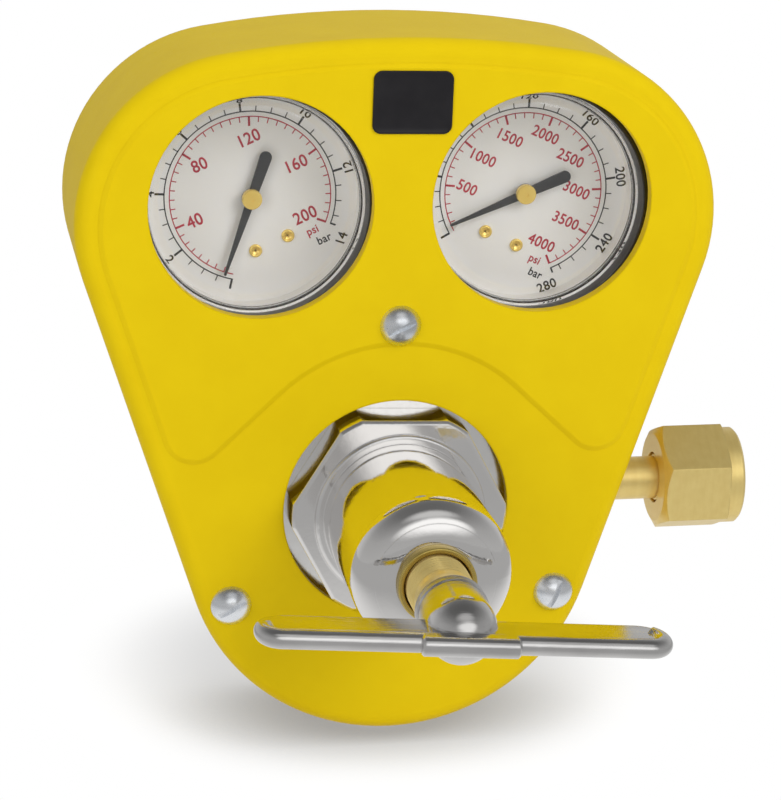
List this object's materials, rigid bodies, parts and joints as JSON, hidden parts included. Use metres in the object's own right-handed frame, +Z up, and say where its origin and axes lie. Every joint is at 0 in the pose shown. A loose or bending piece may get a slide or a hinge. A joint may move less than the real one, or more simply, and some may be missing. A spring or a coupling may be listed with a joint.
{
  "type": "gas pressure regulator",
  "caption": "Oxygen regulator with pressure gauges behind an open-backed cover, a bonnet with a T-handle adjusting screw, and a union nut on a side nipple.",
  "frame": {"origin": "centre of the inlet nut's mouth, on the axis of the nipple", "axes": "+X out of the inlet nut towards the gas cylinder, -Y out of the cover's face towards the user, +Z up towards the gauges"},
  "size_m": [0.198, 0.1604, 0.2095],
  "materials": {
    "cover_paint": "semi-gloss paint on die-cast aluminium",
    "zinc_screw": "bright zinc",
    "plated_steel": "plated",
    "forged_brass": "forged and shot-blasted",
    "chrome_plate": "polished",
    "turned_brass": "turned",
    "satin_chrome": "satin, over a casting",
    "spring_steel": "drawn wire",
    "rubber": "moulded sheet",
    "slip_plastic": "moulded",
    "seat_plastic": "turned",
    "sintered_bronze": "sintered",
    "case_steel": "black, semi-gloss",
    "clear_window": "clear moulded",
    "dial_white": "matt white enamel",
    "pointer_black": "matt black"
  },
  "bodies": {
    "regulator": {"cover": "cover_paint", "cover_screws": "zinc_screw", "bracket": "plated_steel", "clinch_nuts": "zinc_screw", "body": "forged_brass", "bonnet": "chrome_plate", "bonnet_bushing": "turned_brass", "adjusting_spring": "spring_steel", "diaphragm": "rubber", "slip_ring": "slip_plastic", "valve_nozzle": "turned_brass", "valve_spring": "spring_steel", "back_cap": "turned_brass", "back_cap_washer": "seat_plastic", "inlet_nipple": "turned_brass", "inlet_filter": "sintered_bronze", "outlet_fitting": "turned_brass", "relief_valve": "turned_brass", "relief_cap": "turned_brass", "left_case": "case_steel", "left_window": "clear_window", "left_dial": "dial_white", "left_dial_screws": "turned_brass", "left_movement_frame": "turned_brass", "left_bourdon_tube": "turned_brass", "left_socket": "turned_brass", "right_case": "case_steel", "right_window": "clear_window", "right_dial": "dial_white", "right_dial_screws": "turned_brass", "right_movement_frame": "turned_brass", "right_bourdon_tube": "turned_brass", "right_socket": "turned_brass"},
    "spring_seat": {"spring_button": "plated_steel"},
    "handle": {"adjusting_screw": "turned_brass", "t_handle": "satin_chrome"},
    "nut": {"inlet_nut": "turned_brass"},
    "valve": {"diaphragm_plate": "plated_steel", "push_pin": "turned_brass", "valve_poppet": "turned_brass", "valve_seat": "seat_plastic"},
    "left_needle": {"left_pointer": "pointer_black", "left_pointer_hub": "turned_brass", "left_pinion_arbor": "turned_brass"},
    "left_sector": {"left_sector_gear": "turned_brass"},
    "right_needle": {"right_pointer": "pointer_black", "right_pointer_hub": "turned_brass", "right_pinion_arbor": "turned_brass"},
    "right_sector": {"right_sector_gear": "turned_brass"}
  },
  "joints": [
    {"name": "screw_feed", "type": "slide", "parent": "regulator", "child": "spring_seat", "axis": [0, 1, 0], "range_m": [0, 0.012], "deforming": ["adjusting_spring"]},
    {"name": "handle_turn", "type": "hinge", "parent": "spring_seat", "child": "handle", "pos_m": [-0.1067, -0.08, 0], "axis": [0, 1, 0], "range_deg": [0, 2880]},
    {"name": "nut_spin", "type": "hinge", "parent": "regulator", "child": "nut", "pos_m": [0, 0, 0], "axis": [1, 0, 0], "continuous": true},
    {"name": "valve_lift", "type": "slide", "parent": "regulator", "child": "valve", "axis": [0, 1, 0], "range_m": [0, 0.0008], "stiffness_N_per_m": 2000, "deforming": ["diaphragm", "valve_spring"]},
    {"name": "left_pointer_turn", "type": "hinge", "parent": "regulator", "child": "left_needle", "pos_m": [-0.1465, 0.004, 0.0875], "axis": [0, 1, 0], "range_deg": [0, 270]},
    {"name": "left_sector_swing", "type": "hinge", "parent": "regulator", "child": "left_sector", "pos_m": [-0.14101, 0.006, 0.07543], "axis": [0, 1, 0], "range_deg": [-27, 0]},
    {"name": "right_pointer_turn", "type": "hinge", "parent": "regulator", "child": "right_needle", "pos_m": [-0.0669, 0.004, 0.0875], "axis": [0, 1, 0], "range_deg": [0, 270]},
    {"name": "right_sector_swing", "type": "hinge", "parent": "regulator", "child": "right_sector", "pos_m": [-0.07239, 0.006, 0.07543], "axis": [0, 1, 0], "range_deg": [-27, 0]}
  ],
  "couplings": [
    {"joint": "screw_feed", "follows": "handle_turn", "m_per_rad": 0.00023873},
    {"joint": "left_sector_swing", "follows": "left_pointer_turn", "ratio": -0.1},
    {"joint": "right_sector_swing", "follows": "right_pointer_turn", "ratio": -0.1}
  ]
}
